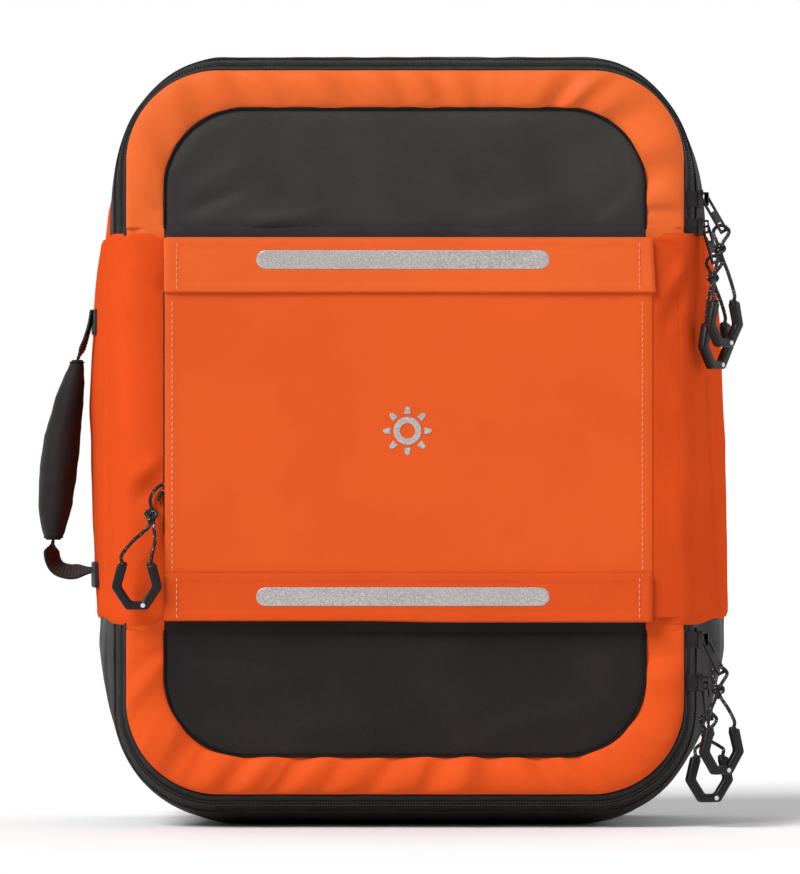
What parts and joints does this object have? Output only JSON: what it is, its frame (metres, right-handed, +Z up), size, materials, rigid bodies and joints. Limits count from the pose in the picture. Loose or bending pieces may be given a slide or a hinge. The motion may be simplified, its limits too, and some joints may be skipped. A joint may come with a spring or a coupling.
{
  "type": "solar backpack",
  "caption": "Clamshell travel backpack with zipped upper and lower flaps, a hinged front cover over a stowed solar panel, cord zip pulls, a padded side handle and shoulder straps.",
  "frame": {"origin": "centre of the base, on the floor the bag stands on", "axes": "+Z up, +X to the right seen from the front, +Y from the front cover to the back panel"},
  "size_m": [0.46, 0.2808, 0.5],
  "materials": {
    "orange_fabric": "water-resistant twill with a faint sheen",
    "orange_border": "coated fabric drawn over foam, with a soft sheen",
    "dark_fabric": "fine diagonal twill, matte",
    "black_webbing": "ribbed polyester webbing",
    "mesh_pad": "air mesh over foam",
    "zip": "nylon coil on woven tape",
    "slider_metal": "black enamelled zinc",
    "cord": "braided cord with a reflective fleck",
    "grip_plastic": "moulded, soft matte",
    "buckle_plastic": "moulded acetal",
    "reflective_tape": "glass-bead reflective film",
    "solar_laminate": "textured laminate",
    "solar_cell": "dark blue silicon under clear film",
    "electronics": "fine-grained case",
    "cable": "smooth jacket"
  },
  "bodies": {
    "bag": {"back_panel": "dark_fabric", "back_pads": "mesh_pad", "lumbar_pad": "mesh_pad", "gusset_upper": "orange_fabric", "gusset_lower": "dark_fabric", "front_wall": "dark_fabric", "band_left": "orange_fabric", "band_right": "orange_fabric", "upper_zip_outer": "zip", "lower_zip_outer": "zip", "pocket_zip_outer": "zip", "solar_panel": "solar_laminate", "solar_cells": "solar_cell", "junction_box": "electronics", "solar_lead": "cable", "battery_pocket": "dark_fabric", "power_bank": "electronics", "laptop_sleeve": "dark_fabric", "anchor_patches": "black_webbing", "strap_web_left": "black_webbing", "strap_web_right": "black_webbing", "pocket_zip_inner": "zip"},
    "upper_flap": {"upper_flap_border": "orange_border", "upper_flap_inset": "dark_fabric", "upper_zip_inner": "zip"},
    "lower_flap": {"lower_flap_border": "orange_border", "lower_flap_inset": "dark_fabric", "lower_zip_inner": "zip"},
    "front_cover": {"cover_panel": "orange_fabric", "cover_top_strip": "orange_fabric", "cover_bottom_strip": "orange_fabric", "reflectors": "reflective_tape", "emblem": "reflective_tape"},
    "pocket_zip_slider": {"pocket_slider": "slider_metal", "pocket_cord_loop": "cord"},
    "pocket_pull": {"pocket_cord_legs": "cord", "pocket_grip": "grip_plastic"},
    "side_handle": {"handle_webbing": "black_webbing", "handle_grip": "mesh_pad"},
    "shoulder_strap_left": {"strap_left": "mesh_pad", "ladder_lock_left": "buckle_plastic"},
    "shoulder_strap_right": {"strap_right": "mesh_pad", "ladder_lock_right": "buckle_plastic"},
    "top_haul_loop": {"haul_loop": "black_webbing"},
    "upper_zip_slider_a": {"upper_slider_a": "slider_metal"},
    "upper_pull_tab_a": {"upper_tab_a": "slider_metal"},
    "upper_pull_a": {"upper_cord_a": "cord", "upper_grip_a": "grip_plastic"},
    "upper_zip_slider_b": {"upper_slider_b": "slider_metal"},
    "upper_pull_tab_b": {"upper_tab_b": "slider_metal"},
    "upper_pull_b": {"upper_cord_b": "cord", "upper_grip_b": "grip_plastic"},
    "lower_zip_slider_a": {"lower_slider_a": "slider_metal"},
    "lower_pull_tab_a": {"lower_tab_a": "slider_metal"},
    "lower_pull_a": {"lower_cord_a": "cord", "lower_grip_a": "grip_plastic"},
    "lower_zip_slider_b": {"lower_slider_b": "slider_metal"},
    "lower_pull_tab_b": {"lower_tab_b": "slider_metal"},
    "lower_pull_b": {"lower_cord_b": "cord", "lower_grip_b": "grip_plastic"}
  },
  "joints": [
    {"name": "upper_flap_opening", "type": "hinge", "parent": "bag", "child": "upper_flap", "pos_m": [0, -0.098, 0.389], "axis": [-1, 0, 0], "range_deg": [-110, 0]},
    {"name": "lower_flap_opening", "type": "hinge", "parent": "bag", "child": "lower_flap", "pos_m": [0, -0.098, 0.129], "axis": [1, 0, 0], "range_deg": [-100, 0]},
    {"name": "front_cover_opening", "type": "hinge", "parent": "bag", "child": "front_cover", "pos_m": [0.159, -0.1045, 0.259], "axis": [0, 0, 1], "range_deg": [0, 115]},
    {"name": "upper_zip_slider_a_travel", "type": "slide", "parent": "bag", "child": "upper_zip_slider_a", "axis": [0, 0, 1], "range_m": [0, 0.025]},
    {"name": "upper_pull_tab_a_swing", "type": "hinge", "parent": "upper_zip_slider_a", "child": "upper_pull_tab_a", "pos_m": [0.1931, -0.084, 0.409], "axis": [0, -1, 0], "range_deg": [0, 45]},
    {"name": "upper_pull_a_swing", "type": "hinge", "parent": "upper_pull_tab_a", "child": "upper_pull_a", "pos_m": [0.20335, -0.084, 0.39185], "axis": [0, -1, 0], "range_deg": [0, 25]},
    {"name": "upper_zip_slider_b_travel", "type": "slide", "parent": "bag", "child": "upper_zip_slider_b", "axis": [0, 0, 1], "range_m": [0, 0.005]},
    {"name": "upper_pull_tab_b_swing", "type": "hinge", "parent": "upper_zip_slider_b", "child": "upper_pull_tab_b", "pos_m": [0.1931, -0.084, 0.391], "axis": [0, -1, 0], "range_deg": [0, 12]},
    {"name": "upper_pull_b_swing", "type": "hinge", "parent": "upper_pull_tab_b", "child": "upper_pull_b", "pos_m": [0.19875, -0.084, 0.37189], "axis": [0, -1, 0], "range_deg": [0, 25]},
    {"name": "lower_zip_slider_a_travel", "type": "slide", "parent": "bag", "child": "lower_zip_slider_a", "axis": [0, 0, 1], "range_m": [-0.014, 0]},
    {"name": "lower_pull_tab_a_swing", "type": "hinge", "parent": "lower_zip_slider_a", "child": "lower_pull_tab_a", "pos_m": [0.1931, -0.084, 0.122], "axis": [0, -1, 0], "range_deg": [0, 50]},
    {"name": "lower_pull_a_swing", "type": "hinge", "parent": "lower_pull_tab_a", "child": "lower_pull_a", "pos_m": [0.20209, -0.084, 0.10418], "axis": [0, -1, 0], "range_deg": [0, 25]},
    {"name": "lower_zip_slider_b_travel", "type": "slide", "parent": "bag", "child": "lower_zip_slider_b", "axis": [0, 0, 1], "range_m": [-0.01, 0]},
    {"name": "lower_pull_tab_b_swing", "type": "hinge", "parent": "lower_zip_slider_b", "child": "lower_pull_tab_b", "pos_m": [0.1931, -0.084, 0.094], "axis": [0, -1, 0], "range_deg": [0, 45]},
    {"name": "lower_pull_b_swing", "type": "hinge", "parent": "lower_pull_tab_b", "child": "lower_pull_b", "pos_m": [0.19524, -0.084, 0.07421], "axis": [0, -1, 0], "range_deg": [0, 25]},
    {"name": "pocket_zip_slider_travel", "type": "slide", "parent": "bag", "child": "pocket_zip_slider", "axis": [0, 0, 1], "range_m": [0, 0.13]},
    {"name": "pocket_pull_swing", "type": "hinge", "parent": "pocket_zip_slider", "child": "pocket_pull", "pos_m": [-0.167, -0.109, 0.203], "axis": [0, -1, 0], "range_deg": [-8, 15]},
    {"name": "side_handle_swing", "type": "hinge", "parent": "bag", "child": "side_handle", "pos_m": [-0.2105, -0.008, 0.246], "axis": [0, 0, 1], "range_deg": [-18, 18]},
    {"name": "shoulder_strap_left_swing", "type": "hinge", "parent": "bag", "child": "shoulder_strap_left", "pos_m": [-0.062, 0.105, 0.462], "axis": [1, 0, 0], "range_deg": [0, 12]},
    {"name": "shoulder_strap_right_swing", "type": "hinge", "parent": "bag", "child": "shoulder_strap_right", "pos_m": [0.062, 0.105, 0.462], "axis": [1, 0, 0], "range_deg": [0, 12]},
    {"name": "haul_loop_swing", "type": "hinge", "parent": "bag", "child": "top_haul_loop", "pos_m": [0, 0.1005, 0.452], "axis": [-1, 0, 0], "range_deg": [0, 75]}
  ]
}
